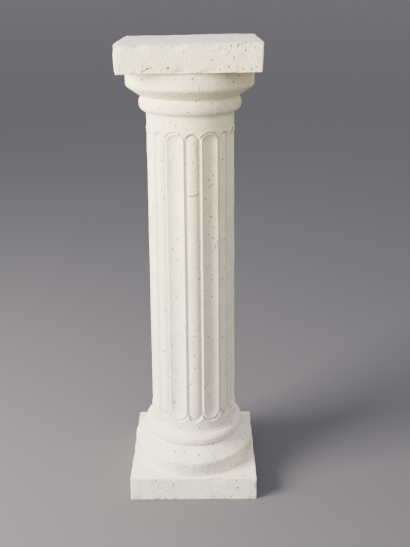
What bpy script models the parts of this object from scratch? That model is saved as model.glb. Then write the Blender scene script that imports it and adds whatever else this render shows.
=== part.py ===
"""A Doric pedestal column, one casting of pale cast stone about a metre tall.

It stands on a square plinth. Above that come a round base with a ring, a tapering shaft with
flutes and reeds by turns, a ringed neck, a round echinus and a square abacus to put things on.
Lengths are in metres, with +Z up and the origin at the middle of the plinth's underside.
"""

import math

import bmesh
import bpy
from mathutils import Matrix

# Square slabs, each a little narrower at the end that meets the round work, as a mould leaves it.
PLINTH_WIDTH = 0.287
PLINTH_HEIGHT = 0.057
PLINTH_DRAFT = 0.001
ABACUS_WIDTH = 0.278
ABACUS_HEIGHT = 0.0543
ABACUS_DRAFT = 0.0018
SLAB_EDGE_ROUND = 0.002
SLAB_EDGE_STEPS = 2

# Round base, from the plinth up: a deep disc, a cone, a low ring, a fillet and a small flare.
DISC_INSET = 0.0042
DISC_SIDE_HEIGHT = 0.0365
DISC_SIDE_LEAN = 0.0023
DISC_EDGE_ROUND = 0.008
CONE_HEIGHT = 0.0270
CONE_TOP_REACH = 0.0128
LOW_RING_FOOT_REACH = 0.0114
LOW_RING_BELLY_REACH = 0.0157
LOW_RING_LOWER_HEIGHT = 0.0115
LOW_RING_LOWER_RISE = 0.0015
LOW_RING_UPPER_HEIGHT = 0.0138
FILLET_REACH = 0.0030
FILLET_HEIGHT = 0.0022
FLARE_HEIGHT = 0.0050

# Shaft, from the top of the fillet up to the neck ring.
SHAFT_HEIGHT = 0.707
SHAFT_FOOT_RADIUS = 0.0974
SHAFT_NECK_RADIUS = 0.0903
FOOT_MARGIN = 0.0325
NECK_MARGIN = 0.030

# Capital, from the neck up.
NECK_RING_LOWER_HEIGHT = 0.0195
NECK_RING_UPPER_HEIGHT = 0.0135
NECK_RING_REACH = 0.0142
NECK_RING_TOP_REACH = 0.0104
NECK_RING_LOWER_RISE = 0.0045
NECK_RING_UPPER_RISE = 0.0015
ECHINUS_SLOPE_HEIGHT = 0.022
ECHINUS_EDGE_ROUND = 0.009
ECHINUS_SIDE_HEIGHT = 0.0357
ECHINUS_INSET = 0.0067

# Channels down the shaft, a hollow flute and a reeded one by turns, each edged with a raised rim.
# Their sizes across hold at half the height of the shaft, and narrow upwards with it. The whole
# fluting is turned a little out of square with the slabs.
PAIRS = 8
FLUTING_TURN = math.radians(2.0)
FLUTE_HALF_WIDTH = 0.0187
FLUTE_DEPTH = 0.0080
CHANNEL_HALF_WIDTH = 0.0168
CHANNEL_DEPTH = 0.0070
REED_HALF_WIDTH = 0.0120
REED_RISE = 0.0038
REED_BELOW_RIM = 0.0006
RIM_WIDTH = 0.0050
RIM_HEIGHT = 0.0010

# Fineness of the facets.
TURN_STEPS = 64
ARC_STEPS = 4
EDGE_STEPS = 3
BAR_TURN_STEPS = 28
BAR_END_STEPS = 6

# How far hidden ends run into their neighbours, so that the joined shapes overlap clearly, and
# how near two points lie that are one.
OVERLAP = 0.010
SAME_POINT = 0.000001

# Finish.
STONE_COLOUR = (0.80, 0.755, 0.655, 1.0)
STONE_ROUGHNESS = 0.85
SHARP_ANGLE = math.radians(30)

# Levels above the floor, and radii that follow from the slabs.
DISC_BOTTOM = PLINTH_HEIGHT
CONE_BOTTOM = DISC_BOTTOM + DISC_SIDE_HEIGHT
LOW_RING_BOTTOM = CONE_BOTTOM + CONE_HEIGHT
LOW_RING_MIDDLE = LOW_RING_BOTTOM + LOW_RING_LOWER_HEIGHT
FILLET_BOTTOM = LOW_RING_MIDDLE + LOW_RING_UPPER_HEIGHT
SHAFT_BOTTOM = FILLET_BOTTOM + FILLET_HEIGHT
SHAFT_TOP = SHAFT_BOTTOM + SHAFT_HEIGHT
NECK_RING_MIDDLE = SHAFT_TOP + NECK_RING_LOWER_HEIGHT
NECK_RING_TOP = NECK_RING_MIDDLE + NECK_RING_UPPER_HEIGHT
SLOPE_TOP = NECK_RING_TOP + ECHINUS_SLOPE_HEIGHT
ABACUS_BOTTOM = SLOPE_TOP + ECHINUS_SIDE_HEIGHT
COLUMN_TOP = ABACUS_BOTTOM + ABACUS_HEIGHT
FLUTING_BOTTOM = SHAFT_BOTTOM + FOOT_MARGIN
FLUTING_TOP = SHAFT_TOP - NECK_MARGIN
DISC_RADIUS = PLINTH_WIDTH / 2 - DISC_INSET
ECHINUS_RADIUS = ABACUS_WIDTH / 2 - ABACUS_DRAFT - ECHINUS_INSET
MEAN_RADIUS = (SHAFT_FOOT_RADIUS + SHAFT_NECK_RADIUS) / 2


def shaft_radius(height):
    """Radius of the plain shaft at a height above the floor."""
    share = (height - SHAFT_BOTTOM) / SHAFT_HEIGHT
    return SHAFT_FOOT_RADIUS + share * (SHAFT_NECK_RADIUS - SHAFT_FOOT_RADIUS)


def stone():
    """The pale, dull, warm white stone of the whole casting."""
    material = bpy.data.materials.new("cast_stone")
    material.use_nodes = True
    shader = material.node_tree.nodes["Principled BSDF"]
    shader.inputs["Base Color"].default_value = STONE_COLOUR
    shader.inputs["Roughness"].default_value = STONE_ROUGHNESS
    shader.inputs["Metallic"].default_value = 0.0
    material.diffuse_color = STONE_COLOUR
    return material


def place(name, shape):
    """A new object in the scene that holds the finished shape."""
    mesh = bpy.data.meshes.new(name)
    bmesh.ops.recalc_face_normals(shape, faces=shape.faces)
    shape.to_mesh(mesh)
    shape.free()
    placed = bpy.data.objects.new(name, mesh)
    bpy.context.scene.collection.objects.link(placed)
    return placed


def arc(centre, radii, start, end, steps):
    """Points (radius, height) along part of an ellipse, its angles in degrees from straight out."""
    points = []
    for step in range(steps + 1):
        angle = math.radians(start + (end - start) * step / steps)
        points.append((centre[0] + radii[0] * math.cos(angle), centre[1] + radii[1] * math.sin(angle)))
    return points


def bow(bottom, top, rise):
    """Points (radius, height) along a round bow between two points, which it rises out from."""
    across = (top[0] - bottom[0], top[1] - bottom[1])
    half = math.hypot(*across) / 2
    radius = (half**2 + rise**2) / (2 * rise)
    out = (across[1] / (2 * half), -across[0] / (2 * half))
    back = radius - rise
    centre = ((bottom[0] + top[0]) / 2 - back * out[0], (bottom[1] + top[1]) / 2 - back * out[1])
    lean = math.degrees(math.atan2(out[1], out[0]))
    reach = math.degrees(math.asin(half / radius))
    return arc(centre, (radius, radius), lean - reach, lean + reach, ARC_STEPS)


def rounded(before, corner, after, radius):
    """Points (radius, height) of an arc that rounds off the corner between two straight lines."""
    first = math.atan2(before[1] - corner[1], before[0] - corner[0])
    second = math.atan2(after[1] - corner[1], after[0] - corner[0])
    turn = (second - first + math.pi) % (2 * math.pi) - math.pi
    middle = first + turn / 2
    away = radius / math.sin(abs(turn) / 2)
    centre = (corner[0] + away * math.cos(middle), corner[1] + away * math.sin(middle))
    opposite = math.degrees(middle) + 180
    half_sweep = math.copysign(90 - math.degrees(abs(turn)) / 2, turn)
    return arc(centre, (radius, radius), opposite + half_sweep, opposite - half_sweep, EDGE_STEPS)


def base_outline():
    """Outline of the round base, from inside the plinth up to the foot of the shaft."""
    foot_radius = DISC_RADIUS - DISC_SIDE_LEAN
    foot = (foot_radius, DISC_BOTTOM)
    edge = (DISC_RADIUS, CONE_BOTTOM)
    cone_top = (SHAFT_FOOT_RADIUS + CONE_TOP_REACH, LOW_RING_BOTTOM)
    disc = rounded(foot, edge, cone_top, DISC_EDGE_ROUND)
    ring_foot = (SHAFT_FOOT_RADIUS + LOW_RING_FOOT_REACH, LOW_RING_BOTTOM)
    belly = (SHAFT_FOOT_RADIUS + LOW_RING_BELLY_REACH, LOW_RING_MIDDLE)
    fillet_radius = SHAFT_FOOT_RADIUS + FILLET_REACH
    lower = bow(ring_foot, belly, LOW_RING_LOWER_RISE)
    reach = (LOW_RING_BELLY_REACH - FILLET_REACH, LOW_RING_UPPER_HEIGHT)
    upper = arc((fillet_radius, LOW_RING_MIDDLE), reach, 0, 90, ARC_STEPS)
    flare_top = (shaft_radius(SHAFT_BOTTOM + FLARE_HEIGHT), SHAFT_BOTTOM + FLARE_HEIGHT)
    ring = [*lower, *upper[1:], (fillet_radius, SHAFT_BOTTOM)]
    return [(foot_radius, DISC_BOTTOM - OVERLAP), foot, *disc, cone_top, *ring, flare_top]


def capital_outline():
    """Outline of the neck ring and the echinus, from the top of the shaft up into the abacus."""
    neck = (SHAFT_NECK_RADIUS, SHAFT_TOP)
    belly = (SHAFT_NECK_RADIUS + NECK_RING_REACH, NECK_RING_MIDDLE)
    slope_foot = (SHAFT_NECK_RADIUS + NECK_RING_TOP_REACH, NECK_RING_TOP)
    edge = (ECHINUS_RADIUS, SLOPE_TOP)
    above = (ECHINUS_RADIUS, ABACUS_BOTTOM + OVERLAP)
    lower = bow(neck, belly, NECK_RING_LOWER_RISE)
    upper = bow(belly, slope_foot, NECK_RING_UPPER_RISE)
    return [*lower, *upper[1:], *rounded(slope_foot, edge, above, ECHINUS_EDGE_ROUND), above]


def turned(outline, steps):
    """A closed turned shape from its outline (radius, height), listed from the bottom up.

    It starts half a facet round, so that the middle of a facet faces along +X.
    """
    shape = bmesh.new()
    first = math.pi / steps
    points = [
        shape.verts.new((radius * math.cos(first), radius * math.sin(first), height))
        for radius, height in outline
    ]
    lines = [shape.edges.new(pair) for pair in zip(points, points[1:])]
    bmesh.ops.spin(
        shape,
        geom=points + lines,
        cent=(0.0, 0.0, 0.0),
        axis=(0.0, 0.0, 1.0),
        angle=2 * math.pi,
        steps=steps,
        use_merge=True,
    )
    bmesh.ops.remove_doubles(shape, verts=shape.verts, dist=SAME_POINT)
    ends = [edge for edge in shape.edges if edge.is_boundary]
    if ends:
        bmesh.ops.edgeloop_fill(shape, edges=ends)
    return shape


def slab(width, bottom, top, draft_at_bottom, draft_at_top):
    """A square slab with rounded edges, made narrower on each side by the draft at either end."""
    shape = bmesh.new()
    made = bmesh.ops.create_cube(shape, size=1.0)
    for corner in made["verts"]:
        upper = corner.co.z > 0
        half = width / 2 - (draft_at_top if upper else draft_at_bottom)
        corner.co.x = math.copysign(half, corner.co.x)
        corner.co.y = math.copysign(half, corner.co.y)
        corner.co.z = top if upper else bottom
    bmesh.ops.bevel(
        shape,
        geom=list(shape.edges),
        offset=SLAB_EDGE_ROUND,
        offset_type="OFFSET",
        segments=SLAB_EDGE_STEPS,
        profile=0.5,
        affect="EDGES",
        material=-1,
    )
    return shape


def bars(bearing, ball_radius, proud):
    """Round-ended bars along the shaft, one for each pair of channels, the first at the bearing.

    proud is how far their middle lines lie outside the plain shaft. All end at the same centres.
    """
    low = (0.0, FLUTING_BOTTOM + FLUTE_HALF_WIDTH)
    high = (0.0, FLUTING_TOP - FLUTE_HALF_WIDTH)
    ball = (ball_radius, ball_radius)
    lower = arc(low, ball, -90, 0, BAR_END_STEPS)
    upper = arc(high, ball, 0, 90, BAR_END_STEPS)
    shape = turned(lower + upper, BAR_TURN_STEPS)
    for vert in shape.verts:
        share = shaft_radius(vert.co.z) / MEAN_RADIUS
        vert.co.x = (vert.co.x + MEAN_RADIUS + proud) * share
        vert.co.y *= share
    axis = (0.0, 0.0, 1.0)
    bmesh.ops.rotate(shape, verts=shape.verts, matrix=Matrix.Rotation(bearing, 3, axis))
    bmesh.ops.spin(
        shape,
        geom=shape.verts[:] + shape.edges[:] + shape.faces[:],
        cent=(0.0, 0.0, 0.0),
        axis=axis,
        angle=2 * math.pi * (PAIRS - 1) / PAIRS,
        steps=PAIRS - 1,
        use_duplicate=True,
    )
    return shape


def hollow_bars(bearing, half_width, depth):
    """Bars that cut a round hollow of this half width and depth below the rims."""
    ball_radius = (half_width**2 + depth**2) / (2 * depth)
    return bars(bearing, ball_radius, RIM_HEIGHT - depth + ball_radius)


def reed_bars(bearing):
    """Bars whose outer face is the crown of the reeds."""
    ball_radius = (REED_HALF_WIDTH**2 + REED_RISE**2) / (2 * REED_RISE)
    return bars(bearing, ball_radius, RIM_HEIGHT - REED_BELOW_RIM - ball_radius)


def rim_bars(bearing, half_width):
    """Bars whose outline on the shaft is the outer edge of the rims."""
    return bars(bearing, half_width + RIM_WIDTH, RIM_HEIGHT)


def join(body, tool, operation):
    """Joins the tool shape to the body, or cuts the body with it, and keeps it as a hidden guide."""
    tool.hide_render = True
    tool.display_type = "WIRE"
    step = body.modifiers.new(tool.name, "BOOLEAN")
    step.object = tool
    step.operation = operation
    step.solver = "EXACT"


def settle(body):
    """Gives the body the mesh that its joins and cuts make, and clears its guides away."""
    bpy.context.view_layer.update()
    shown = body.evaluated_get(bpy.context.evaluated_depsgraph_get())
    finished = bpy.data.meshes.new_from_object(shown)
    tools = [step.object for step in body.modifiers]
    body.modifiers.clear()
    body.data = finished
    for tool in tools:
        bpy.data.objects.remove(tool)


def rims(flute_bearing, reed_bearing):
    """The raised skin around all the channels, as wide as their rims and scalloped at both ends."""
    skin_ends = (FLUTING_BOTTOM - RIM_WIDTH - OVERLAP, FLUTING_TOP + RIM_WIDTH + OVERLAP)
    outline = [(shaft_radius(height) + RIM_HEIGHT, height) for height in skin_ends]
    skin = place("rims", rim_bars(flute_bearing, FLUTE_HALF_WIDTH))
    join(skin, place("reeded_rims", rim_bars(reed_bearing, CHANNEL_HALF_WIDTH)), "UNION")
    join(skin, place("rim_drum", turned(outline, TURN_STEPS)), "INTERSECT")
    settle(skin)
    return skin


def column():
    """The whole column as one casting, a reed near its front and the flutes between the reeds."""
    reed_bearing = FLUTING_TURN - math.pi / 2
    flute_bearing = reed_bearing + math.pi / PAIRS
    body = place("column", turned(base_outline() + capital_outline(), TURN_STEPS))
    plinth = slab(PLINTH_WIDTH, 0.0, PLINTH_HEIGHT, 0.0, PLINTH_DRAFT)
    abacus = slab(ABACUS_WIDTH, ABACUS_BOTTOM, COLUMN_TOP, ABACUS_DRAFT, 0.0)
    flutes = hollow_bars(flute_bearing, FLUTE_HALF_WIDTH, FLUTE_DEPTH)
    channels = hollow_bars(reed_bearing, CHANNEL_HALF_WIDTH, CHANNEL_DEPTH)
    join(body, place("plinth", plinth), "UNION")
    join(body, place("abacus", abacus), "UNION")
    join(body, rims(flute_bearing, reed_bearing), "UNION")
    join(body, place("flutes", flutes), "DIFFERENCE")
    join(body, place("reeded_channels", channels), "DIFFERENCE")
    join(body, place("reeds", reed_bars(reed_bearing)), "UNION")
    settle(body)
    body.data.shade_smooth()
    body.data.set_sharp_from_angle(angle=SHARP_ANGLE)
    body.data.materials.clear()
    body.data.materials.append(stone())
    return body


for left_over in list(bpy.data.objects):
    bpy.data.objects.remove(left_over)
column()
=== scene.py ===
"""A Doric pedestal column in pale, pitted cast stone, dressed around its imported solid."""

import math
import random

import bmesh
import bpy
from mathutils import Matrix, Vector, noise
from mathutils.kdtree import KDTree


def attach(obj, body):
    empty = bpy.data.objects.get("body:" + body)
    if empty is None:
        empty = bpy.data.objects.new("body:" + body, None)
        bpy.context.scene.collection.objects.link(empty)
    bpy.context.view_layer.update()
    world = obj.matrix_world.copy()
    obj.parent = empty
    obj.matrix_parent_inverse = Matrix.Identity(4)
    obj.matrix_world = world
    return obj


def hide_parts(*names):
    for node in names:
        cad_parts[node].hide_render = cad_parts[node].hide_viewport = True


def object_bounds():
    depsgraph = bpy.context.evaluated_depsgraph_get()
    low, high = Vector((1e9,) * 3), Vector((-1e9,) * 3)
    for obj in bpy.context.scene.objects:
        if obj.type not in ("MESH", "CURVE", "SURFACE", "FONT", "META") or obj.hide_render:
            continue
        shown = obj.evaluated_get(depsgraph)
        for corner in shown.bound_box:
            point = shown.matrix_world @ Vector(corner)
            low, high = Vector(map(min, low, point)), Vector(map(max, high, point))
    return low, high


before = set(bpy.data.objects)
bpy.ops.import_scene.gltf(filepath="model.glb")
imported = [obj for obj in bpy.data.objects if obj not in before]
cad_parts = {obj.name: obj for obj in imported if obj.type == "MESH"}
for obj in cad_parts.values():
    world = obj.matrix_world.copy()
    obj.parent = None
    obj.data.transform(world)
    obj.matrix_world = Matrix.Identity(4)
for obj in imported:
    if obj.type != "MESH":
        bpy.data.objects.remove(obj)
CAD_LOW, CAD_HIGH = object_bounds()

# The whole height and the plinth's width come from the solid. All lengths are in metres.
HEIGHT = CAD_HIGH.z
CLEAR_OF_SOLID = 0.00005
PLINTH_HALF = CAD_HIGH.x - CLEAR_OF_SOLID
PLINTH_TOP = 0.057
PLINTH_DRAFT = 0.0004
ABACUS_HALF = 0.1388
ABACUS_BOTTOM = 0.9457
ABACUS_DRAFT = 0.0018
ABACUS_LEAN = 0.0032
SLAB_EDGE = 0.0018
SLAB_CORNER = 0.0030

# Round base: a deep disc, a cone, a ring, a fillet and a small flare.
DISC_FOOT_RADIUS = 0.1370
DISC_RADIUS = 0.1393
CONE_BOTTOM = 0.0935
DISC_EDGE_ROUND = 0.0085
RING_BOTTOM = 0.1205
CONE_TOP_RADIUS = 0.1098
RING_FOOT_RADIUS = 0.1088
RING_MIDDLE = 0.1320
RING_RADIUS = 0.1131
FILLET_BOTTOM = 0.1458
FILLET_RADIUS = 0.1004
SHAFT_BOTTOM = 0.1480
FLARE_TOP = 0.1535

# Shaft, and the capital above it.
SHAFT_TOP = 0.8550
SHAFT_FOOT_RADIUS = 0.0974
SHAFT_NECK_RADIUS = 0.0903
MEAN_RADIUS = (SHAFT_FOOT_RADIUS + SHAFT_NECK_RADIUS) / 2
FLUTED_LOW = 0.1665
FLUTED_HIGH = 0.8345
NECK_LEDGE = 0.0012
NECK_LEDGE_RISE = 0.0018
NECK_LEDGE_TOP = 0.8585
NECK_RING_MIDDLE = 0.8750
NECK_RING_RADIUS = 0.1046
NECK_GROOVE = 0.8868
NECK_GROOVE_RADIUS = 0.1004
SLOPE_INSET = 0.0006
SLOPE_BOTTOM = 0.8895
SLOPE_TOP = 0.9100
ECHINUS_RADIUS = 0.1303
ECHINUS_EDGE_ROUND = 0.0095

# Fluting: eight hollow flutes and eight reeds by turns. Widths are those at the mean radius.
# An end is the height where a channel's sides begin to close, and how far its end is stretched.
PAIRS = 8
PITCH = math.pi / PAIRS * MEAN_RADIUS
FLUTE_SHIFT = 5 / 16
FLUTE_HALF = 0.0180
FLUTE_DEPTH = 0.0080
FLUTE_LIP_DROP = 0.0003
FLUTE_LOW_END = (0.2012, 1.15)
FLUTE_HIGH_END = (0.8081, 0.80)
REED_HALF = 0.0128
REED_RISE = 0.0035
REED_DROP = 0.0004
REED_ROUNDNESS = 2.8
REED_LOW_END = (0.1992, 1.50)
REED_HIGH_END = (0.8087, 1.00)

# The groove beside each lip and reed, and the low rim outside it.
GROOVE_FROM_LIP = 0.0044
GROOVE_FROM_REED = PITCH - FLUTE_HALF - REED_HALF - GROOVE_FROM_LIP
GROOVE_DEPTH = 0.0037
WALL_STEEPNESS = 1.9
RIM_HALF_WIDTH = 0.0017
RIM_HEIGHT = 0.0013
CARVING_SOFTNESS = 0.0011

# The turn of the channels, in degrees: its mean, how far it sways from that on the way
# around, and where in its sway it starts.
MEAN_TURN = 2.0
TURN_SWAY = 2.0
SWAY_START = 130

# Mesh columns: all around on slabs and on the fluting, and half as many on plain mouldings.
# The stretches lead from a flute's middle to a reed's: where each ends, and its fine columns.
FINE = 384
COARSE = 192
TOP_GRID = 128
STRETCHES = ((0.0165, 8), (0.0243, 10), (PITCH, 6))
CORNER_CROWDING = 0.3

# Mesh rings: beside a slab's edge, where square and round work meet, under the plinth, and on
# the top, in from its sides. The fluting and the plain shaft have a gap that a bridge closes.
EDGE_RING = 0.0006
MEETING_RING = 0.0010
UNDERSIDE_RING = 0.006
TOP_RINGS = (0.0105, 0.0150, 0.0220)
ZONE_GAP = 0.002

# Wear: how far the surface sways, the bites and nicks in the slabs' edges, and how far these reach.
SWAY = 0.0006
FINE_SWAY = 0.0003
BITE_DEPTH = 0.0050
NICK_DEPTH = 0.0026
EDGE_REACH = 0.006
LEAST_WEAR = 0.0001

# The uneven top: how far down it is felt, its waves, and how far its front left part is sunk.
SAG_HEIGHT = 0.03
WAVE_DEPTH = 0.0009
FRONT_SAG = 0.0022
FRONT_SAG_REACH = 0.06
FRONT_SAG_WIDTH = 0.14

# Chips out of the slabs' edges and corners: place, reach and depth.
CHIPS = (
    ((-0.1388, -0.1388, 1.0), 0.013, 0.0040),
    ((-0.0900, -0.1388, 1.0), 0.010, 0.0022),
    ((-0.0250, -0.1388, 1.0), 0.012, 0.0018),
    ((0.1380, -0.1433, 0.001), 0.006, 0.0020),
    ((-0.1200, -0.1433, 0.0), 0.011, 0.0018),
    ((-0.0800, -0.1433, 0.0), 0.004, 0.0022),
    ((-0.0640, -0.1433, 0.0), 0.003, 0.0018),
    ((-0.0400, -0.1433, 0.0), 0.003, 0.0020),
    ((0.1433, 0.1000, 0.057), 0.009, 0.0024),
    ((-0.1433, 0.1433, 0.030), 0.012, 0.0030),
    ((0.1388, 0.0600, 1.0), 0.009, 0.0022),
    ((-0.0500, 0.1388, 0.947), 0.009, 0.0024),
)

# The photograph: its height and its middle in pixels, and the camera's focal length in pixels.
PHOTO_HEIGHT = 547
MIDDLE_X = 205
MIDDLE_Y = 273.5
FOCAL_PIXELS = 739.8

# The camera's place, how far it looks down and how far it is rolled, in degrees.
CAMERA_PLACE = (0.0284, -1.5383, 1.0866)
CAMERA_DOWN = 20.93
CAMERA_ROLL = -0.33

# Pits seen in the photograph: their pixel there, and their radius and depth in pit units.
PIT_UNITS_IN_A_METRE = 800
SEEN_PITS = (
    (156, 43, 2.6, 1.6), (143, 66, 1.4, 0.8), (147, 69, 1.8, 1.0), (151, 71, 1.2, 0.7),
    (169, 68, 2.2, 1.3), (212, 60, 1.5, 0.9), (215, 64, 1.9, 1.2), (229, 68, 1.8, 1.1),
    (231, 71, 1.3, 0.9), (235, 58, 1.6, 1.0), (229, 53.5, 1.3, 0.8), (245.5, 50, 1.5, 0.9),
    (255, 48.5, 1.3, 0.8), (261, 43, 1.9, 1.2), (261, 47, 1.5, 0.9), (125, 43, 1.8, 1.0),
    (136, 43, 1.5, 0.9), (177, 42, 1.6, 1.0), (205, 43, 2.4, 1.5), (210, 42, 2.4, 1.5),
    (222, 44, 1.6, 1.0), (236, 41, 1.5, 0.9), (156, 92, 1.8, 1.1), (202, 92, 1.7, 1.0),
    (200, 89, 1.3, 0.8), (193, 79, 1.5, 0.9), (179, 134, 2.2, 1.5), (176, 127, 1.3, 0.8),
    (162.5, 124, 1.4, 0.9), (162, 160, 1.6, 1.0), (223, 161, 1.5, 0.9), (193, 164, 1.9, 1.2),
    (209, 178, 1.7, 1.1), (213, 174, 1.5, 0.9), (213, 185, 2.0, 1.2), (207.6, 187, 1.7, 1.1),
    (161, 191.5, 1.7, 1.1), (164, 200, 1.5, 0.9), (158.5, 199, 2.1, 1.4), (227, 194, 1.5, 0.9),
    (211.6, 215.6, 2.1, 1.4), (159, 231, 1.5, 0.9), (177, 238, 1.6, 1.0), (213.7, 238, 2.0, 1.3),
    (224.6, 240, 1.8, 1.1), (173, 249, 2.0, 1.3), (177.5, 259, 1.7, 1.1), (177, 264, 1.5, 0.9),
    (182, 275, 1.6, 1.0), (222, 277, 1.6, 1.0), (212.5, 281, 2.1, 1.4), (162.6, 292, 1.7, 1.1),
    (176, 297, 1.8, 1.1), (212.4, 297, 1.7, 1.1), (166, 311.5, 1.7, 1.0), (178, 314.5, 1.5, 0.9),
    (202.4, 318.5, 2.4, 2.2), (232.5, 319, 1.5, 0.9), (183.7, 327, 1.8, 1.2), (182, 333, 1.6, 1.0),
    (193.7, 336.6, 1.6, 1.0), (197, 336.6, 1.6, 1.0), (208.4, 337, 1.9, 1.2), (164.6, 353, 1.6, 1.0),
    (195.4, 356, 1.8, 1.2), (155, 358, 1.5, 0.9), (168.7, 365.4, 2.4, 2.2), (195, 369, 1.6, 1.0),
    (201, 369, 1.6, 1.0), (191.4, 383.5, 1.9, 1.3), (208.4, 384.6, 1.8, 1.2), (157.7, 423, 1.9, 1.2),
    (178.4, 428, 1.6, 1.0), (183.4, 427, 1.8, 1.1), (210.5, 424, 1.6, 1.0), (142, 431, 1.8, 1.1),
    (231, 430, 1.7, 1.0), (141, 440, 2.0, 1.3), (175.7, 452.6, 1.7, 1.1), (184.6, 453.7, 1.7, 1.0),
    (199.4, 455.4, 1.7, 1.0), (206.6, 463, 2.4, 1.9), (208.5, 466.5, 2.0, 1.3), (177, 457, 1.5, 0.9),
    (185, 467, 1.8, 1.1), (147, 466, 1.8, 1.1), (156.5, 481, 1.8, 1.1), (151.6, 484, 1.6, 1.0),
    (173.8, 485.5, 1.9, 1.2), (236.4, 481, 1.7, 1.1), (237.3, 488, 2.3, 1.6), (252, 484.6, 1.8, 1.1),
    (252, 492.4, 2.4, 1.8), (250.4, 497.7, 2.4, 1.8), (256.5, 491, 1.6, 1.0),
    (226, 44, 1.3, 0.9), (231, 46, 1.5, 1.0), (238, 46, 1.7, 1.1), (243, 47.5, 1.5, 1.0),
    (248, 46, 1.8, 1.2), (251, 44, 1.5, 1.0), (254, 46, 1.7, 1.2), (257, 44, 1.8, 1.2),
    (259, 48, 1.5, 1.0), (262, 45, 1.4, 0.9), (256, 52, 1.3, 0.9), (246, 55, 1.4, 0.9),
    (200, 44, 1.4, 0.9), (215, 45, 1.5, 1.0), (183, 43.5, 1.3, 0.8), (149, 44, 1.4, 0.9),
    (131, 45, 1.4, 0.9), (121, 46, 1.3, 0.8), (139, 64, 1.3, 0.8), (219, 70, 1.4, 0.9),
    (243, 70, 1.5, 1.0), (252, 69, 1.5, 1.0), (256, 66, 1.3, 0.9), (238, 68, 1.3, 0.9),
    (157, 178, 1.5, 1.0), (166, 172, 1.3, 0.8), (158, 186, 1.4, 0.9), (168, 186, 1.4, 0.9),
    (156, 207, 1.3, 0.8), (163, 212, 1.4, 0.9), (160, 260, 1.3, 0.8), (161, 330, 1.4, 0.9),
    (165, 385, 1.4, 0.9), (160, 400, 1.4, 0.9), (176, 382, 1.4, 0.9), (212, 179, 1.4, 0.9),
    (215, 180, 1.3, 0.9), (159, 108, 1.5, 1.0), (187, 112, 1.4, 0.9), (232, 160, 1.3, 0.8),
)

# Cracks and scratches in the photograph: the pixels of their two ends, and their half width.
SEEN_CRACKS = (
    ((240, 44.5), (247, 42.0), 0.0016),
    ((247, 42.0), (261, 39.5), 0.0014),
    ((189.5, 196.5), (192.5, 196.7), 0.0017),
    ((192.5, 196.7), (196, 195.8), 0.0019),
    ((196, 195.8), (199, 193.5), 0.0017),
    ((174, 389.5), (181, 392), 0.0011),
    ((213.5, 251), (218, 241), 0.0010),
    ((141, 72), (152, 68), 0.0012),
    ((199, 42), (214, 45), 0.0013),
    ((209, 188), (214, 184), 0.0012),
    ((121, 45.5), (131, 45), 0.0010),
)

# Pits drawn at random: their number, their radii and how deep they are for their radius.
RANDOM_PITS = 620
SMALLEST_PIT = 0.0007
PIT_RADIUS_SPREAD = 0.0016
PIT_STEEPNESS = (0.5, 0.8)

# Where a pit may be: how flat, how high above the floor and with how much room around it, and
# the share of that room it may fill. Seen pits and cracks lie where the stone faces the camera.
PIT_FLATNESS = 0.86
PIT_LOWEST = 0.004
PIT_ROOM = 0.0006
PIT_SHARE_OF_ROOM = 0.90
LEAST_FACING = 0.12

# The two rings of points inside a pit: their shares of its radius and depth. Each point strays.
PIT_RINGS = ((1.0, 0.04), (0.66, 1.0))
PIT_UNEVENNESS = (0.84, 1.16)

# Seed of every random draw.
SEED = 4


class Outline:
    """Half section of the column, walked from the underside up to the top.

    Each point is (radius, height, squareness), where the last is 0 on round work and 1 on slabs.
    """

    def __init__(self, radius, height, square):
        self.points = [(radius, height, square)]

    def straight(self, radius, height, spacing, square=None):
        """A straight stretch, which may change from a square section to a round one on its way."""
        start = self.points[-1]
        end = (radius, height, start[2] if square is None else square)
        steps = max(1, round(math.dist(start[:2], end[:2]) / spacing))
        for step in range(1, steps + 1):
            share = step / steps
            self.points.append(tuple(a + (b - a) * share for a, b in zip(start, end)))

    def bow(self, radius, height, rise, steps):
        """A round stretch that rises out from the straight line, or sinks in with a rise below 0."""
        start = self.points[-1]
        across = (radius - start[0], height - start[1])
        half = math.hypot(*across) / 2
        bend = (half**2 + rise**2) / (2 * rise)
        reach = math.asin(half / abs(bend))
        for step in range(1, steps + 1):
            turn = reach * (2 * step / steps - 1)
            along = 0.5 + abs(bend) * math.sin(turn) / (2 * half)
            out = bend * math.cos(turn) - (bend - rise)
            self.points.append((
                start[0] + across[0] * along + across[1] / (2 * half) * out,
                start[1] + across[1] * along - across[0] / (2 * half) * out,
                start[2],
            ))

    def corner(self, corner, after, bend, spacing, steps):
        """A straight stretch to a corner that is rounded off on the way to the point after it."""
        start = self.points[-1]
        before = math.atan2(start[1] - corner[1], start[0] - corner[0])
        onward = math.atan2(after[1] - corner[1], after[0] - corner[0])
        inside = abs((onward - before + math.pi) % (2 * math.pi) - math.pi)
        reach = bend / math.tan(inside / 2)
        rise = bend * (1 - math.sin(inside / 2))
        first = (corner[0] + reach * math.cos(before), corner[1] + reach * math.sin(before))
        last = (corner[0] + reach * math.cos(onward), corner[1] + reach * math.sin(onward))
        self.straight(*first, spacing)
        self.bow(*last, rise, steps)

    def slab_edge(self, radius, height):
        """The worn, rounded edge of a slab, up to this point."""
        self.bow(radius, height, SLAB_EDGE * (1 - math.sqrt(0.5)), 4)


def shaft_radius(height):
    """Radius of the plain shaft at a height above the floor."""
    share = (height - SHAFT_BOTTOM) / (SHAFT_TOP - SHAFT_BOTTOM)
    return SHAFT_FOOT_RADIUS + share * (SHAFT_NECK_RADIUS - SHAFT_FOOT_RADIUS)


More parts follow.
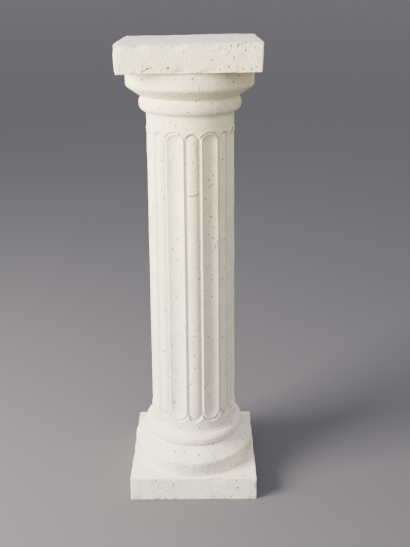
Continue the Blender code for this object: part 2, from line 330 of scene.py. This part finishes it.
def plinth_outline():
    """From the underside round the plinth's sides to its top edge."""
    top_half = PLINTH_HALF - PLINTH_DRAFT
    line = Outline(PLINTH_HALF - UNDERSIDE_RING, 0.0, square=1.0)
    line.straight(PLINTH_HALF - SLAB_EDGE, 0.0, spacing=0.004)
    line.slab_edge(PLINTH_HALF, SLAB_EDGE)
    line.straight(top_half, PLINTH_TOP - SLAB_EDGE, spacing=0.0048)
    line.slab_edge(top_half - SLAB_EDGE, PLINTH_TOP)
    line.straight(top_half - SLAB_EDGE - EDGE_RING, PLINTH_TOP, spacing=0.001)
    return line.points


def base_outline():
    """From the plinth's top, which turns from square to round here, up to the plain shaft."""
    line = Outline(PLINTH_HALF - PLINTH_DRAFT - SLAB_EDGE - MEETING_RING, PLINTH_TOP, square=0.90)
    line.straight(DISC_FOOT_RADIUS, PLINTH_TOP, spacing=0.00016, square=0.0)
    cone_top = (CONE_TOP_RADIUS, RING_BOTTOM)
    line.corner((DISC_RADIUS, CONE_BOTTOM), cone_top, DISC_EDGE_ROUND, spacing=0.005, steps=5)
    line.straight(*cone_top, spacing=0.005)
    line.straight(RING_FOOT_RADIUS, RING_BOTTOM, spacing=0.001)
    line.bow(RING_RADIUS, RING_MIDDLE, rise=0.0015, steps=5)
    line.bow(FILLET_RADIUS, FILLET_BOTTOM, rise=0.0039, steps=8)
    line.straight(FILLET_RADIUS, SHAFT_BOTTOM, spacing=0.002)
    line.bow(shaft_radius(FLARE_TOP), FLARE_TOP, rise=-0.0007, steps=3)
    plain_top = FLUTED_LOW - ZONE_GAP
    line.straight(shaft_radius(plain_top), plain_top, spacing=0.004)
    return line.points


def fluted_outline():
    """The fluted part of the shaft, with closer rows where its channels end."""
    line = Outline(shaft_radius(FLUTED_LOW), FLUTED_LOW, square=0.0)
    for height, spacing in (
        (REED_LOW_END[0] + 0.003, 0.00150),
        (FLUTE_HIGH_END[0] - 0.001, 0.0078),
        (FLUTED_HIGH, 0.00135),
    ):
        line.straight(shaft_radius(height), height, spacing)
    return line.points


def capital_outline():
    """The plain neck, the ring, and the echinus up to the abacus."""
    plain_bottom = FLUTED_HIGH + ZONE_GAP
    line = Outline(shaft_radius(plain_bottom), plain_bottom, square=0.0)
    line.straight(SHAFT_NECK_RADIUS, SHAFT_TOP, spacing=0.0045)
    ledge = SHAFT_NECK_RADIUS + NECK_LEDGE
    line.bow(ledge, SHAFT_TOP + NECK_LEDGE_RISE, rise=-0.0003, steps=2)
    line.straight(ledge, NECK_LEDGE_TOP, spacing=0.002)
    line.bow(NECK_RING_RADIUS, NECK_RING_MIDDLE, rise=0.0042, steps=7)
    line.bow(NECK_GROOVE_RADIUS, NECK_GROOVE, rise=0.0016, steps=5)
    line.straight(NECK_GROOVE_RADIUS - SLOPE_INSET, SLOPE_BOTTOM, spacing=0.0016)
    rim = (ECHINUS_RADIUS, ABACUS_BOTTOM)
    line.corner((ECHINUS_RADIUS, SLOPE_TOP), rim, ECHINUS_EDGE_ROUND, spacing=0.0045, steps=5)
    line.straight(*rim, spacing=0.005)
    seat = ABACUS_HALF - ABACUS_DRAFT - SLAB_EDGE - MEETING_RING
    line.straight(seat, ABACUS_BOTTOM, spacing=0.0006, square=0.9)
    return line.points


def abacus_outline():
    """Round the abacus, on to the rim of its flat top."""
    bottom_half = ABACUS_HALF - ABACUS_DRAFT
    line = Outline(bottom_half - SLAB_EDGE - EDGE_RING, ABACUS_BOTTOM, square=1.0)
    line.straight(bottom_half - SLAB_EDGE, ABACUS_BOTTOM, spacing=0.001)
    line.slab_edge(bottom_half, ABACUS_BOTTOM + SLAB_EDGE)
    line.straight(ABACUS_HALF, HEIGHT - SLAB_EDGE, spacing=0.0044)
    line.slab_edge(ABACUS_HALF - SLAB_EDGE, HEIGHT)
    line.straight(ABACUS_HALF - TOP_RINGS[0], HEIGHT, spacing=0.0035)
    return line.points


def top_outline():
    """The start of the coarser grid on the flat top."""
    line = Outline(ABACUS_HALF - TOP_RINGS[1], HEIGHT, square=1.0)
    line.straight(ABACUS_HALF - TOP_RINGS[2], HEIGHT, spacing=0.01)
    return line.points


ZONES = (
    (FINE, plinth_outline()),
    (COARSE, base_outline()),
    (FINE, fluted_outline()),
    (COARSE, capital_outline()),
    (FINE, abacus_outline()),
    (TOP_GRID, top_outline()),
)


def station(share):
    """Distance from a flute's middle, at this share of the way to the next reed's middle."""
    place = share * sum(count for _, count in STRETCHES)
    start = 0.0
    for end, count in STRETCHES:
        if place <= count:
            return start + (end - start) * place / count
        place -= count
        start = end
    return PITCH


def fluting_place(share):
    """Angle at this share of the way around, and its distance from the nearest flute's middle."""
    shifted = share + FLUTE_SHIFT
    pair, within = divmod(shifted * PAIRS, 1.0)
    from_flute = station(1 - abs(2 * within - 1))
    if within <= 0.5:
        around = pair * 2 * PITCH + from_flute
    else:
        around = (pair + 1) * 2 * PITCH - from_flute
    return around / MEAN_RADIUS - 2 * math.pi * FLUTE_SHIFT, from_flute


def soft_min(first, second, softness):
    """The lower of two values, with the corner between them rounded."""
    near = max(softness - abs(first - second), 0.0) / softness
    return min(first, second) - near * near * softness / 4


def soft_max(first, second, softness):
    """The higher of two values, with the corner between them rounded."""
    return -soft_min(-first, -second, softness)


def channel_distance(across, height, low_end, high_end):
    """Distance from a channel's middle line, which stops short of its two round ends."""
    past = 0.0
    if height < low_end[0]:
        past = (low_end[0] - height) / low_end[1]
    elif height > high_end[0]:
        past = (height - high_end[0]) / high_end[1]
    return math.hypot(across, past)


def hollow_level(flute):
    """Level of a flute's round hollow. Far out, its arc goes on as a straight slope."""
    drop = FLUTE_DEPTH - FLUTE_LIP_DROP
    bend = (FLUTE_HALF**2 + drop**2) / (2 * drop)
    reach = min(flute, bend * 0.9)
    return bend - FLUTE_DEPTH - math.sqrt(bend**2 - reach**2) + 2.0 * (flute - reach)


def carving(from_flute, height):
    """How far the fluting stands out from the plain shaft, and how deep in a groove a point is, which
    feeds painted shade in the grooves.
    """
    flute = channel_distance(from_flute, height, FLUTE_LOW_END, FLUTE_HIGH_END)
    reed = channel_distance(PITCH - from_flute, height, REED_LOW_END, REED_HIGH_END)
    past_lip = flute - FLUTE_HALF
    past_reed = reed - REED_HALF

    away = -FLUTE_LIP_DROP - past_lip * (GROOVE_DEPTH - FLUTE_LIP_DROP) / GROOVE_FROM_LIP
    flute_level = soft_min(hollow_level(flute), away, CARVING_SOFTNESS)
    crown = -REED_DROP - REED_RISE * min(reed / REED_HALF, 1.4) ** REED_ROUNDNESS
    infill = soft_max(flute_level, crown, CARVING_SOFTNESS / 2)
    if past_lip > 0:
        infill = max(infill, -GROOVE_DEPTH)
    past_groove = min(past_lip - GROOVE_FROM_LIP, past_reed - GROOVE_FROM_REED)
    wall = -GROOVE_DEPTH + WALL_STEEPNESS * past_groove
    cut = infill
    if past_groove > -0.002:
        cut = soft_max(infill, wall, CARVING_SOFTNESS / 2)

    past_wall = past_groove - GROOVE_DEPTH / WALL_STEEPNESS
    beside_rim = (past_wall - RIM_HALF_WIDTH / 2) / RIM_HALF_WIDTH
    rim = RIM_HEIGHT * math.exp(-(beside_rim**2))
    level = soft_min(cut, rim, CARVING_SOFTNESS / 2)
    in_groove = 0.0
    if past_lip > -0.001:
        in_groove = min(max(-level / GROOVE_DEPTH, 0.0), 1.0)
    return level, in_groove**2


def wander(angle):
    """How far the channels stray from even spacing at a bearing, both in radians."""
    return math.radians(MEAN_TURN + TURN_SWAY * math.sin(angle + math.radians(SWAY_START)))


def square_place(share, half, round_corner):
    """Point on a square of this half width, with rounded corners, at this share of the way."""
    side, along = divmod(share * 4 + 0.5, 1.0)
    along = 2 * along - 1
    along *= 1 + CORNER_CROWDING * (1 - along**2)
    x, y = half, along * half
    inner = half - round_corner
    if abs(y) > inner:
        spread = math.hypot(round_corner, abs(y) - inner)
        x = inner + round_corner * round_corner / spread
        y = math.copysign(inner + round_corner * (abs(y) - inner) / spread, y)
    for _ in range(int(side) % 4):
        x, y = -y, x
    return x, y


def spun_zones(shape, zone_mark, square_mark):
    """Spins each zone's outline and bridges the zones one to the next."""
    row_mark = shape.verts.layers.int.new("row")
    last_loop = None
    for zone, (around, outline) in enumerate(ZONES):
        points = []
        for row, (radius, height, square) in enumerate(outline):
            point = shape.verts.new((radius, 0.0, height))
            point[zone_mark] = zone
            point[row_mark] = row
            point[square_mark] = square
            points.append(point)
        lines = [shape.edges.new(pair) for pair in zip(points, points[1:])]
        bmesh.ops.spin(
            shape,
            geom=points + lines,
            cent=(0.0, 0.0, 0.0),
            axis=(0.0, 0.0, 1.0),
            angle=2 * math.pi,
            steps=around,
            use_merge=True,
        )
        rims = [edge for edge in shape.edges if edge.is_boundary]
        rims = [edge for edge in rims if all(vert[zone_mark] == zone for vert in edge.verts)]
        first = [edge for edge in rims if all(vert[row_mark] == 0 for vert in edge.verts)]
        final = len(outline) - 1
        if last_loop:
            bmesh.ops.bridge_loops(shape, edges=last_loop + first)
        else:
            bmesh.ops.contextual_create(shape, geom=first)
        last_loop = [edge for edge in rims if all(vert[row_mark] == final for vert in edge.verts)]


def turned_column(shape):
    """Spins the column, sets every point where it belongs, and closes the flat top."""
    zone_mark = shape.verts.layers.int.new("zone")
    square_mark = shape.verts.layers.float.new("square")
    # A point's depth in a groove, kept for painted shade in the grooves.
    groove_shade = shape.verts.layers.float.new("groove_shade")
    spun_zones(shape, zone_mark, square_mark)
    for vert in shape.verts:
        around = ZONES[vert[zone_mark]][0]
        radius = math.hypot(vert.co.x, vert.co.y)
        height = vert.co.z
        square = vert[square_mark]
        column = round(math.atan2(vert.co.y, vert.co.x) / (2 * math.pi) * around) % around
        angle, from_flute = fluting_place(column / around)
        if FLUTED_LOW <= height <= FLUTED_HIGH:
            level, vert[groove_shade] = carving(from_flute, height)
            radius += level
        angle += wander(angle) * (1 - square)
        if square > 0.0:
            even = column / around
            loose = angle / (2 * math.pi)
            share = even + ((loose - even + 0.5) % 1.0 - 0.5) * (1 - square)
            edge_x, edge_y = square_place(share % 1.0, radius, SLAB_CORNER * square)
            angle = math.atan2(edge_y, edge_x)
            radius += (math.hypot(edge_x, edge_y) - radius) * square
        vert.co = (radius * math.cos(angle), radius * math.sin(angle), height)
    sides = []
    for edge in shape.edges:
        along = edge.verts[0].co - edge.verts[1].co
        if edge.is_boundary and abs(along.y) > abs(along.x):
            sides.append(edge)
    bmesh.ops.grid_fill(shape, edges=sides, use_interp_simple=True)
    shape.normal_update()
    bmesh.ops.recalc_face_normals(shape, faces=shape.faces)


def ripple(place, per_metre):
    """Smooth noise from -1 to 1, with about this many ripples in a metre."""
    return noise.noise(place * per_metre)


def worn_place(place, normal):
    """Where wear leaves a point. On the slabs it only takes away, so that the size holds."""
    sway = ripple(place, per_metre=16.0) * SWAY + ripple(place, per_metre=48.0) * FINE_SWAY
    if PLINTH_TOP < place.z < ABACUS_BOTTOM:
        rise = max(place.z - SLOPE_TOP, 0.0) / (ABACUS_BOTTOM - SLOPE_TOP)
        return place + normal * sway - Vector((0.0, 0.0, lean_of(place) * rise))
    if place.z > HEIGHT / 2:
        half, low, top = ABACUS_HALF, ABACUS_BOTTOM, HEIGHT
    else:
        half, low, top = PLINTH_HALF, 0.0, PLINTH_TOP
    gaps = sorted((half - abs(place.x), half - abs(place.y), place.z - low, top - place.z))
    edge = math.exp(-((gaps[1] / EDGE_REACH) ** 2))
    bite = max(0.0, ripple(place, per_metre=38.0) - 0.05) * BITE_DEPTH
    nick = max(0.0, ripple(place, per_metre=120.0) - 0.15) * NICK_DEPTH
    taken = LEAST_WEAR + abs(sway) / 2 + edge * (bite + nick)
    if place.z < PLINTH_TOP / 2:
        taken /= 3
    moved = place - normal * taken
    for spot, reach, depth in CHIPS:
        near = (place - Vector(spot)).length / reach
        if near < 2.0:
            moved -= normal * depth * math.exp(-(near**2))
    if top == HEIGHT:
        moved.z -= top_sag(place) + lean_of(place)
    if place.z == 0.0:
        moved.z = 0.0
    return moved


def lean_of(place):
    """How much lower the abacus lies there, as its left end lies lower than its right."""
    return ABACUS_LEAN * (0.5 - place.x / (2 * ABACUS_HALF))


def top_sag(place):
    """How far the uneven top of the abacus lies below its highest part."""
    near_top = max(0.0, 1 - (HEIGHT - place.z) / SAG_HEIGHT)
    front = max(0.0, 1 - (place.y + ABACUS_HALF) / FRONT_SAG_REACH)
    left = min(max(0.75 - place.x / FRONT_SAG_WIDTH, 0.0), 1.0)
    waves = WAVE_DEPTH * (0.5 + ripple(place, per_metre=9.0))
    return near_top * (FRONT_SAG * front * front * left + max(waves, 0.0))


def pixel_of(eye, place):
    """The photograph's pixel where the camera sees a point."""
    seen = eye @ place
    return MIDDLE_X + FOCAL_PIXELS * seen.x / -seen.z, MIDDLE_Y - FOCAL_PIXELS * seen.y / -seen.z


def ray_through(eye, x, y):
    """Direction from the camera through a pixel of the photograph."""
    ray = Vector(((x - MIDDLE_X) / FOCAL_PIXELS, (MIDDLE_Y - y) / FOCAL_PIXELS, -1.0))
    return eye.inverted().to_3x3() @ ray


def camera_point(eye):
    """Where the camera is."""
    return eye.inverted() @ Vector((0.0, 0.0, 0.0))


def seen_points(eye, choices):
    """Finds which points face the camera, and where each is in the photograph."""
    watcher = camera_point(eye)
    facing = []
    for vert in choices:
        if vert.normal.dot((watcher - vert.co).normalized()) > LEAST_FACING:
            facing.append(vert)
    pixels = KDTree(len(facing))
    for index, vert in enumerate(facing):
        pixels.insert((*pixel_of(eye, vert.co), 0.0), index)
    pixels.balance()
    return facing, pixels


def crack_ends(eye, facing, pixels):
    """The two ends of each seen crack on the stone, and its half width."""
    watcher = camera_point(eye)
    cracks = []
    for first, last, width in SEEN_CRACKS:
        ends = []
        for x, y in (first, last):
            vert = facing[pixels.find((x, y, 0.0))[1]]
            ray = ray_through(eye, x, y)
            away = (vert.co - watcher).dot(vert.normal) / ray.dot(vert.normal)
            ends.append(watcher + ray * away)
        cracks.append((ends[0], ends[1], width))
    return cracks


def pit_wishes(draw, choices, facing, pixels):
    """Pits to be made, each a mesh point with a radius and a depth, the seen ones first."""
    for x, y, radius, depth in SEEN_PITS:
        vert = facing[pixels.find((x, y, 0.0))[1]]
        yield vert, radius / PIT_UNITS_IN_A_METRE, depth / PIT_UNITS_IN_A_METRE
    weights = [sum(face.calc_area() for face in vert.link_faces) for vert in choices]
    for vert in draw.choices(choices, weights, k=RANDOM_PITS):
        radius = SMALLEST_PIT + PIT_RADIUS_SPREAD * draw.random() ** 3
        yield vert, radius, radius * draw.uniform(*PIT_STEEPNESS)


def block_axes(vert):
    """The two directions of the four quads around a point, and the angle of each outer corner."""
    first = vert.link_faces[0]
    sides = [edge.other_vert(vert) for edge in first.edges if vert in edge.verts]
    across = sides[0].co - vert.co
    upward = sides[1].co - vert.co
    upward = (upward - across * upward.dot(across) / across.length_squared).normalized()
    across = across.normalized()
    angles = {}
    for face in vert.link_faces:
        near = [edge.other_vert(vert) for edge in face.edges if vert in edge.verts]
        total = Vector((0.0, 0.0))
        for other in near:
            lean = (other.co - vert.co).normalized()
            flat = Vector((round(lean.dot(across)), round(lean.dot(upward))))
            angles[other] = math.atan2(flat.y, flat.x)
            total += flat
        far = [corner for corner in face.verts if corner is not vert and corner not in near]
        angles[far[0]] = math.atan2(total.y, total.x)
    return across, upward, angles


class Pit:
    """A pit around a mesh point, with the directions and corners of its block of four quads."""

    def __init__(self, vert, radius, depth):
        self.vert = vert
        self.radius = radius
        self.depth = depth
        self.centre = vert.co.copy()
        self.normal = vert.normal.copy()
        self.across, self.upward, self.angles = block_axes(vert)


def pit_choices(shape):
    """The points that can carry a pit: each amid four quads, where the stone is nearly flat."""
    choices = []
    for vert in shape.verts:
        faces = vert.link_faces
        if len(faces) != 4 or any(len(face.verts) != 4 for face in faces) or vert.co.z < PIT_LOWEST:
            continue
        if min(face.normal.dot(vert.normal) for face in faces) > PIT_FLATNESS:
            choices.append(vert)
    return choices


def free_pits(wishes, pit_mark):
    """The pits that have room and touch no other, with their faces marked by their number."""
    used = set()
    pits = {}
    for vert, radius, depth in wishes:
        block = {corner for face in vert.link_faces for corner in face.verts}
        if used & block:
            continue
        room = min((edge.other_vert(vert).co - vert.co).length for edge in vert.link_edges)
        pit = Pit(vert, min(radius, room * PIT_SHARE_OF_ROOM), depth)
        if len(set(pit.angles.values())) != 8 or room < PIT_ROOM:
            continue
        used |= block
        pits[len(pits) + 1] = pit
        for face in vert.link_faces:
            face[pit_mark] = len(pits)
    return pits


def pitted(shape, eye):
    """Sinks the pits: four quads make one face, which is inset twice and pushed in."""
    pit_mark = shape.faces.layers.int.new("pit")
    # A point's share of its pit's depth, later used for painted shade in the pits.
    pit_depth = shape.verts.layers.float.new("pit")
    draw = random.Random(SEED)
    choices = pit_choices(shape)
    facing, pixels = seen_points(eye, choices)
    cracks = crack_ends(eye, facing, pixels)
    pits = free_pits(pit_wishes(draw, choices, facing, pixels), pit_mark)
    bmesh.ops.dissolve_verts(shape, verts=[pit.vert for pit in pits.values()])
    sunk = [face for face in shape.faces if face[pit_mark] and len(face.verts) == 8]
    for share, depth_share in PIT_RINGS:
        bmesh.ops.inset_individual(shape, faces=sunk, thickness=0.00005)
        for face in sunk:
            pit = pits[face[pit_mark]]
            inner = {}
            for corner in face.verts:
                outer = [edge.other_vert(corner) for edge in corner.link_edges]
                turn = next(pit.angles[vert] for vert in outer if vert in pit.angles)
                inner[corner] = turn
                uneven = pit.radius * share * draw.uniform(*PIT_UNEVENNESS)
                corner.co = (
                    pit.centre
                    + pit.across * uneven * math.cos(turn)
                    + pit.upward * uneven * math.sin(turn)
                    - pit.normal * pit.depth * depth_share
                )
                corner[pit_depth] = depth_share
            pit.angles = inner
    return cracks


def finished_mesh(name, shape):
    """A mesh of this name from a bmesh, which is freed."""
    mesh = bpy.data.meshes.new(name)
    shape.to_mesh(mesh)
    shape.free()
    return mesh


def placed(name, data):
    """An object of this name in the scene, for a mesh, lamp or camera."""
    made = bpy.data.objects.new(name, data)
    bpy.context.scene.collection.objects.link(made)
    return made


def cast_stone_column(eye):
    """The dressed column: turned, worn and pitted, as one closed skin."""
    shape = bmesh.new()
    turned_column(shape)
    moves = [(vert, worn_place(vert.co, vert.normal)) for vert in shape.verts]
    for vert, place in moves:
        vert.co = place
    shape.normal_update()
    cracks = pitted(shape, eye)
    bmesh.ops.recalc_face_normals(shape, faces=shape.faces)
    mesh = finished_mesh("column_stone", shape)
    mesh.shade_smooth()
    mesh.set_sharp_from_angle(angle=math.radians(45))
    piece = placed("column_stone", mesh)
    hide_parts("column")
    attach(piece, "root")
    mesh.materials.append(cast_stone(cracks))


class Value:
    """A shader socket that takes ordinary arithmetic."""

    def __init__(self, finish, socket):
        self.finish = finish
        self.socket = socket

    def maths(self, operation, first, second):
        """Adds a Math node for this operation."""
        return self.finish.node("Math", {"operation": operation}, {0: first, 1: second})

    def __add__(self, other):
        return self.maths("ADD", self, other)

    def __radd__(self, other):
        return self.maths("ADD", other, self)

    def __sub__(self, other):
        return self.maths("SUBTRACT", self, other)

    def __rsub__(self, other):
        return self.maths("SUBTRACT", other, self)

    def __mul__(self, other):
        return self.maths("MULTIPLY", self, other)

    def __rmul__(self, other):
        return self.maths("MULTIPLY", other, self)

    def clamped(self):
        """The value, held between 0 and 1."""
        return self.finish.node("Clamp", {}, {"Value": self})


class Finish:
    """A material, with one way to add a node to it."""

    def __init__(self, name):
        self.material = bpy.data.materials.new(name)
        self.material.use_nodes = True
        self.tree = self.material.node_tree
        self.shader = self.tree.nodes["Principled BSDF"]

    def put(self, socket, value):
        """Links a value to a socket, or sets the socket to a constant."""
        if isinstance(value, Value):
            self.tree.links.new(value.socket, socket)
        else:
            socket.default_value = value

    def node(self, kind, settings, sockets, output=0):
        """Adds a node: its settings first, then what goes into its sockets."""
        made = self.tree.nodes.new("ShaderNode" + kind)
        for name, value in settings.items():
            setattr(made, name, value)
        for name, value in sockets.items():
            self.put(made.inputs[name], value)
        return Value(self, made.outputs[output])

    def vector(self, operation, first, second, output=0):
        """Arithmetic on two vectors."""
        return self.node("VectorMath", {"operation": operation}, {0: first, 1: second}, output)

    def mix(self, factor, first, second, blend="MIX"):
        """Two colours, mixed by a factor."""
        settings = {"data_type": "RGBA", "blend_type": blend}
        return self.node("Mix", settings, {0: factor, 6: first, 7: second}, output=2)

    def noise(self, vector, scale, detail, roughness=0.5):
        """Smooth noise from 0 to 1."""
        sockets = {"Vector": vector, "Scale": scale, "Detail": detail, "Roughness": roughness}
        return self.node("TexNoise", {}, sockets)


def cast_stone(cracks):
    """Pale cast stone, mottled and pin-holed: cream above, greyer and darker below partly as painted
    shade, with painted shade in its grooves and pits and a painted cool tint on its top.
    """
    stone = Finish("cast_stone")
    place = stone.node("TexCoord", {}, {}, output="Object")
    sideways = stone.node("SeparateXYZ", {}, {0: place}, output="X")
    height = stone.node("SeparateXYZ", {}, {0: place}, output="Z")
    # Depth in a groove, for painted shade in the grooves.
    groove_shade = stone.node("Attribute", {"attribute_name": "groove_shade"}, {}, output="Fac")
    # Share of a pit's depth, for painted shade in the pits, darkest at the deepest ring.
    pit = (stone.node("Attribute", {"attribute_name": "pit"}, {}, output="Fac") * 1.7).clamped()

    broad = stone.noise(place, scale=7.0, detail=3.0)
    cloud = stone.noise(place, scale=26.0, detail=4.0, roughness=0.6)
    grain = stone.noise(place, scale=190.0, detail=3.0, roughness=0.65)
    fine = stone.noise(place, scale=620.0, detail=2.0, roughness=0.6)
    stretched = stone.vector("MULTIPLY", place, (1.0, 1.0, 0.07))
    streak = stone.noise(stretched, scale=60.0, detail=3.0, roughness=0.6)

    # Pinholes of two sizes. A cell has one where its random colour, as a grey, is bright enough.
    holes = []
    for scale, rarity in ((150.0, 0.61), (290.0, 0.56)):
        cells = {"Vector": place, "Scale": scale}
        distance = stone.node("TexVoronoi", {}, cells)
        chance = stone.node("TexVoronoi", {}, cells, output="Color")
        size = (chance - rarity) * 0.9
        holes.append(((size - distance) * 9.0).clamped())
    hole = stone.node("Math", {"operation": "MAXIMUM"}, {0: holes[0], 1: holes[1] * 0.7})

    # Each crack is drawn by the distance from the line between its ends, which noise makes waver.
    wobble = stone.noise(place, scale=170.0, detail=2.0)
    crack = 0.0
    for first, last, width in cracks:
        along = last - first
        offset = stone.vector("SUBTRACT", place, tuple(first))
        share = stone.vector("DOT_PRODUCT", offset, tuple(along / along.length_squared), "Value")
        reach = stone.node("VectorMath", {"operation": "SCALE"}, {0: tuple(along), 3: share.clamped()})
        away = stone.vector("DISTANCE", offset, reach, "Value") + (wobble - 0.5) * 0.004
        crack = ((width - away) * (1 / width) + 0.15).clamped() + crack
    crack = (crack * (0.35 + cloud)).clamped()

    # Cream above, greyer and darker below: partly the stone's own tone, partly painted shade for the
    # dimmer light low down.
    upward = (height * 1.25 + (broad - 0.5) * 1.1 - 0.02).clamped()
    colour = stone.mix(upward, (0.770, 0.705, 0.640, 1.0), (0.955, 0.870, 0.585, 1.0))
    # Painted cool light: the leaning top alone is tinted a lilac grey for the cool sky light it
    # catches, varied by streak noise.
    top_sky_tint = ((height - sideways * 0.011 - 0.9925) * 300).clamped()
    top_sky_tint = top_sky_tint * (0.45 + streak * 0.6)
    warm = ((cloud - 0.5) * 3.0 + 0.4).clamped()
    colour = stone.mix(warm * 0.45, colour, (0.955, 0.865, 0.560, 1.0))
    colour = stone.mix(top_sky_tint.clamped(), colour, (0.700, 0.670, 0.690, 1.0))
    tone = 1.0 + (cloud - 0.5) * 0.26 + (grain - 0.5) * 0.38 + (fine - 0.5) * 0.20
    tone = tone + (streak - 0.5) * 0.14
    # Painted shade darkens the grooves and the pits' bottoms; pinholes and cracks darken the stone
    # too.
    shade = 1 - groove_shade * 0.10 - hole * 0.60 - pit * 0.66 - crack * 0.60
    lightness = stone.node("CombineColor", {}, {0: tone * shade, 1: tone * shade, 2: tone * shade})
    colour = stone.mix(1.0, colour, lightness, blend="MULTIPLY")
    # Painted shade in grooves and pits, with the dark of pinholes and cracks, pulls the colour towards
    # dark brown.
    shade_and_dirt = (groove_shade * (0.4 + cloud) * 0.22 + pit * 0.85 + hole * 0.35 + crack * 0.6).clamped()
    colour = stone.mix(shade_and_dirt, colour, (0.200, 0.165, 0.135, 1.0))

    relief = grain * 0.0017 + fine * 0.00050 + cloud * 0.0022 - hole * 0.0012 - crack * 0.0010
    bump = stone.node("Bump", {}, {"Strength": 0.85, "Distance": 1.0, "Height": relief})
    stone.put(stone.shader.inputs["Base Color"], colour)
    stone.put(stone.shader.inputs["Roughness"], (0.86 + (grain - 0.5) * 0.2 + pit * 0.1).clamped())
    stone.put(stone.shader.inputs["Specular IOR Level"], 0.25)
    stone.put(stone.shader.inputs["Normal"], bump)
    return stone.material


def camera():
    """The photograph's view: a little above the column and almost square to its front."""
    lens = bpy.data.cameras.new("camera")
    lens.sensor_width = 36.0
    lens.lens = FOCAL_PIXELS / PHOTO_HEIGHT * lens.sensor_width
    eye = placed("camera", lens)
    eye.matrix_world = (
        Matrix.Translation(CAMERA_PLACE)
        @ Matrix.Rotation(math.radians(90 - CAMERA_DOWN), 4, "X")
        @ Matrix.Rotation(math.radians(CAMERA_ROLL), 4, "Z")
    )
    bpy.context.scene.camera = eye
    return eye.matrix_world.inverted()


def soft_light(name, place, aim, size, power, colour):
    """A large square studio light, turned to face a point."""
    lamp = bpy.data.lights.new(name, "AREA")
    lamp.size = size
    lamp.energy = power
    lamp.color = colour
    holder = placed(name, lamp)
    holder.location = place
    holder.rotation_euler = (Vector(aim) - Vector(place)).to_track_quat("-Z", "Y").to_euler()


def floor():
    """A plain grey floor."""
    shape = bmesh.new()
    bmesh.ops.create_grid(shape, x_segments=1, y_segments=1, size=200.0)
    mesh = finished_mesh("floor", shape)
    ground = placed("floor", mesh)
    material = bpy.data.materials.new("floor")
    material.use_nodes = True
    shader = material.node_tree.nodes["Principled BSDF"]
    shader.inputs["Base Color"].default_value = (0.096, 0.093, 0.105, 1)
    shader.inputs["Roughness"].default_value = 0.8
    mesh.materials.append(material)


def room():
    """Even light from all around."""
    world = bpy.data.worlds.new("room")
    world.use_nodes = True
    background = world.node_tree.nodes["Background"]
    background.inputs["Color"].default_value = (0.97, 0.97, 1.0, 1.0)
    background.inputs["Strength"].default_value = 0.90
    bpy.context.scene.world = world


floor()
room()
soft_light(
    "key",
    place=(-1.93, -1.00, 1.46),
    aim=(0.0, 0.0, 0.62),
    size=1.2,
    power=275,
    colour=(1.0, 0.955, 0.85),
)
soft_light(
    "overhead",
    place=(0.1, -1.3, 1.5),
    aim=(0.0, -0.6, 0.0),
    size=1.0,
    power=9,
    colour=(1.0, 0.98, 0.97),
)
cast_stone_column(camera())
